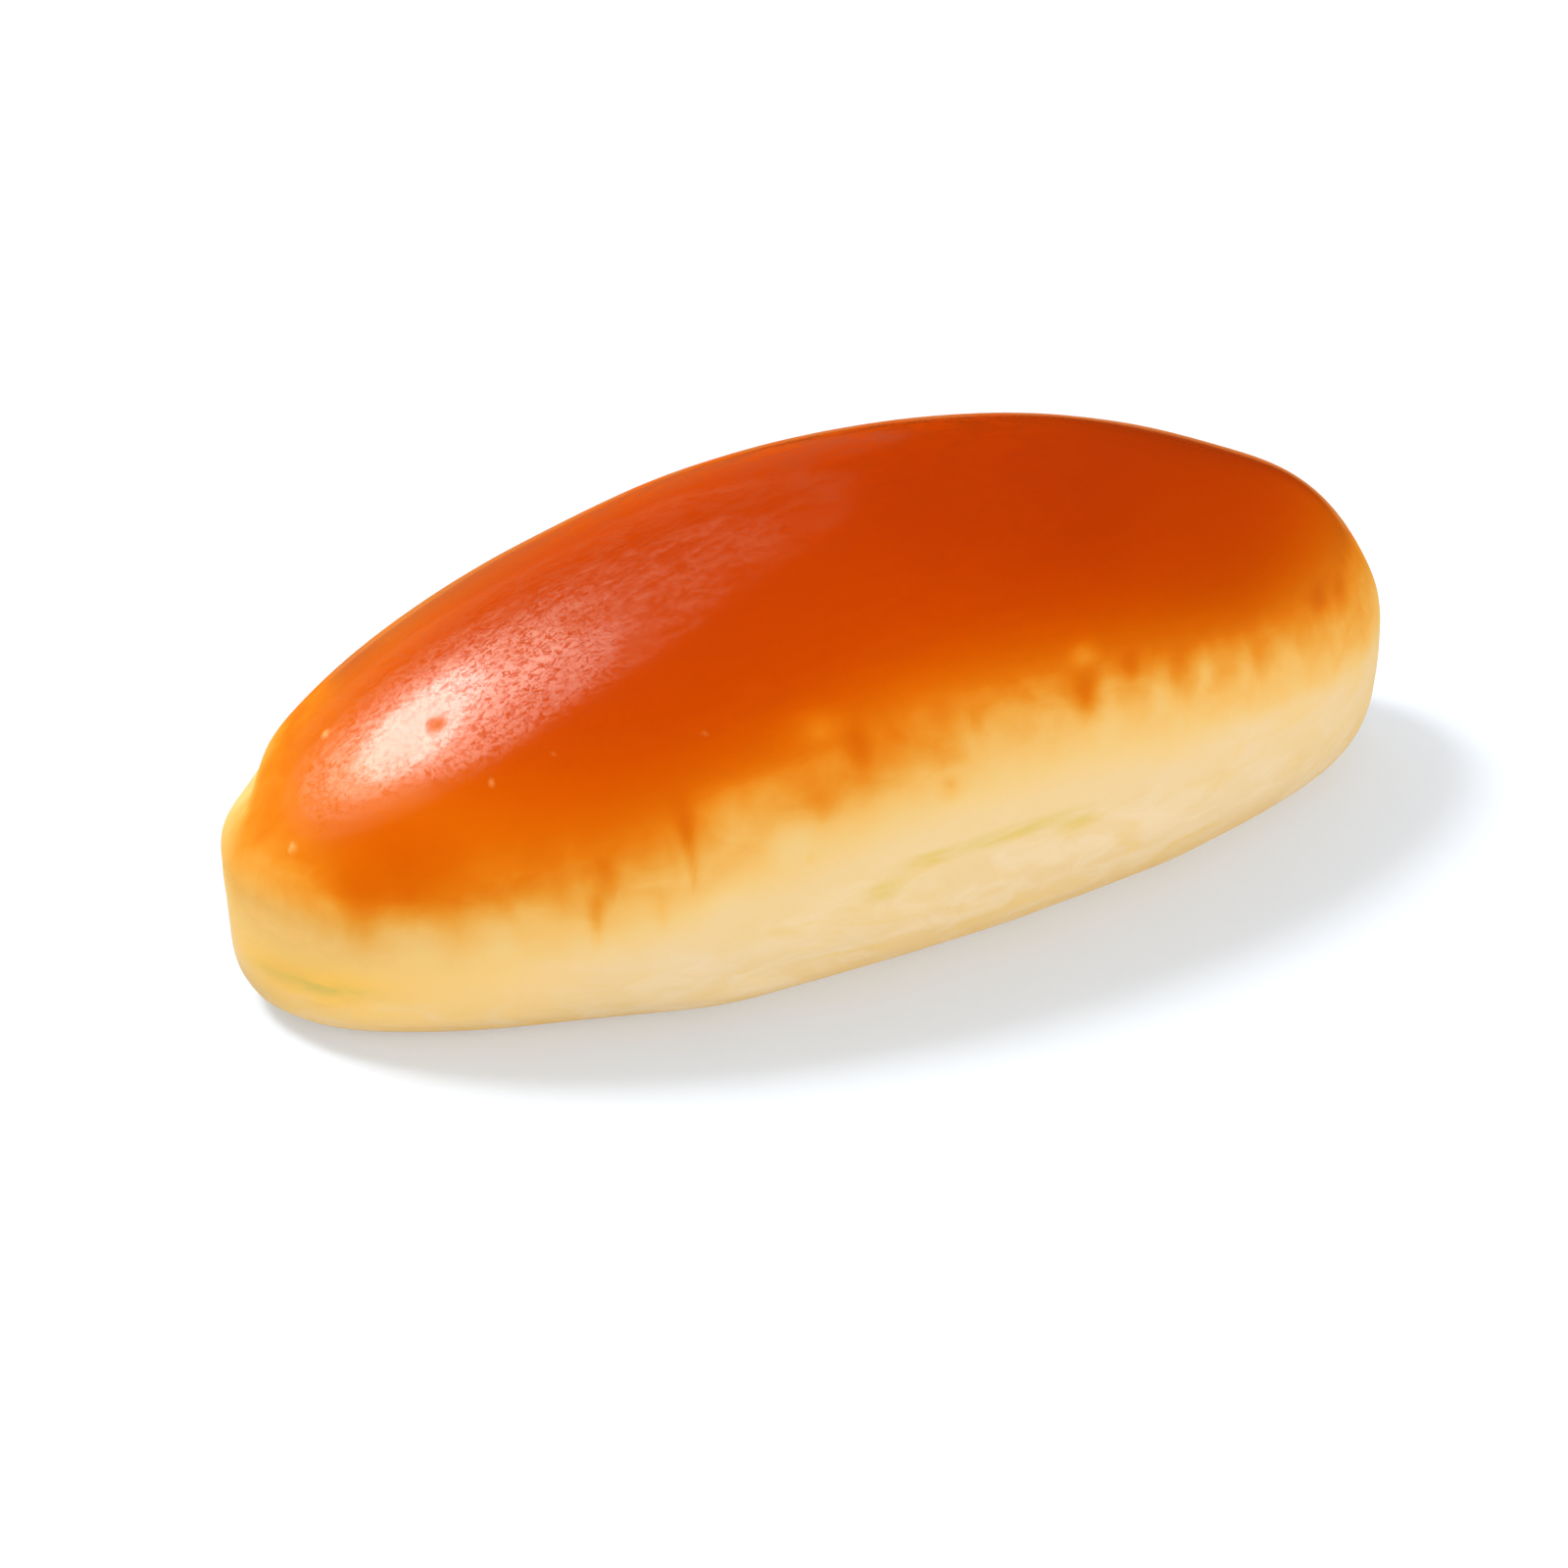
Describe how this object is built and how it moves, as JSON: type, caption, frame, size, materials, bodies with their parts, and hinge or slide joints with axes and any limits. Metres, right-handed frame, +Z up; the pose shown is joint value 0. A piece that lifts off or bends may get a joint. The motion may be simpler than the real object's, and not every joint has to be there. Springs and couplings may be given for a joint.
{
  "type": "bread roll",
  "caption": "Long soft bread roll with a rounded, glazed, browned top, a pale soft side and a flat baked base to rest on.",
  "frame": {"origin": "middle of the roll's box at the level of its flat base, which is the surface it rests on", "axes": "+Z up through the crown, +X along the roll towards its blunter, higher end, +Y across it towards the side away from the two long folds"},
  "size_m": [0.16, 0.0734, 0.055],
  "materials": {
    "crust": "soft baked bread: glazed orange-brown crust on top that fades through amber into a matte cream side"
  },
  "bodies": {
    "root": {"bread_roll": "crust"}
  },
  "joints": []
}
